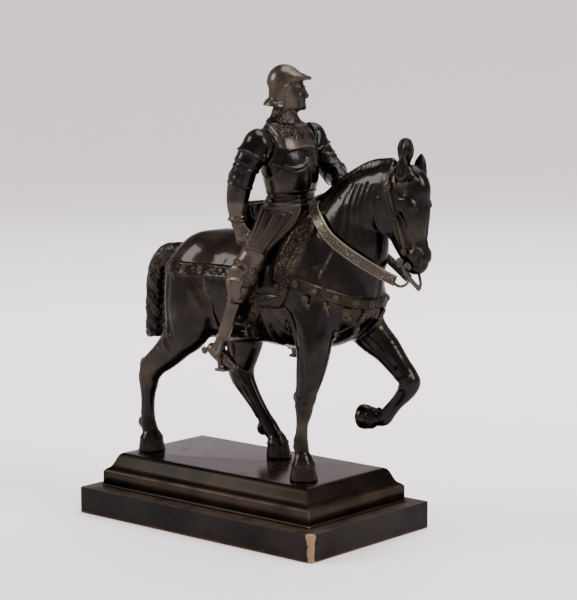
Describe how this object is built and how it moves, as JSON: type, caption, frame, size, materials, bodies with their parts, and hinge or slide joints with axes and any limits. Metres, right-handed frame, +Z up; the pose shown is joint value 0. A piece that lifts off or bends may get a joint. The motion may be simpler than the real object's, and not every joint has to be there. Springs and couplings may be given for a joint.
{
  "type": "equestrian statuette",
  "caption": "Bronze statuette of an armoured rider on a walking horse, on a moulded bronze plinth over a wooden slab; stands on a table or shelf as decoration.",
  "frame": {"origin": "middle of the wooden slab's underside", "axes": "+Z up, +X the way the horse walks, +Y the horse's left side"},
  "size_m": [0.2417, 0.1174, 0.2962],
  "materials": {
    "ebonised_wood": "matte black paint over wood, worn to tan at the front corner and brown along the bottom edge",
    "plinth_bronze": "glossy dark brown patinated bronze, rubbed golden on the arrises",
    "figure_bronze": "near-black brown patinated bronze, glossy, rubbed lighter on high points",
    "strap_metal": "grey-olive stippled metal strip",
    "bit_metal": "dark brown bronze wire"
  },
  "bodies": {
    "root": {"plinth_slab": "ebonised_wood", "plinth_moulding": "plinth_bronze", "horse": "figure_bronze", "rider": "figure_bronze", "rein_right": "strap_metal", "rein_left": "strap_metal", "bit": "bit_metal"}
  },
  "joints": []
}
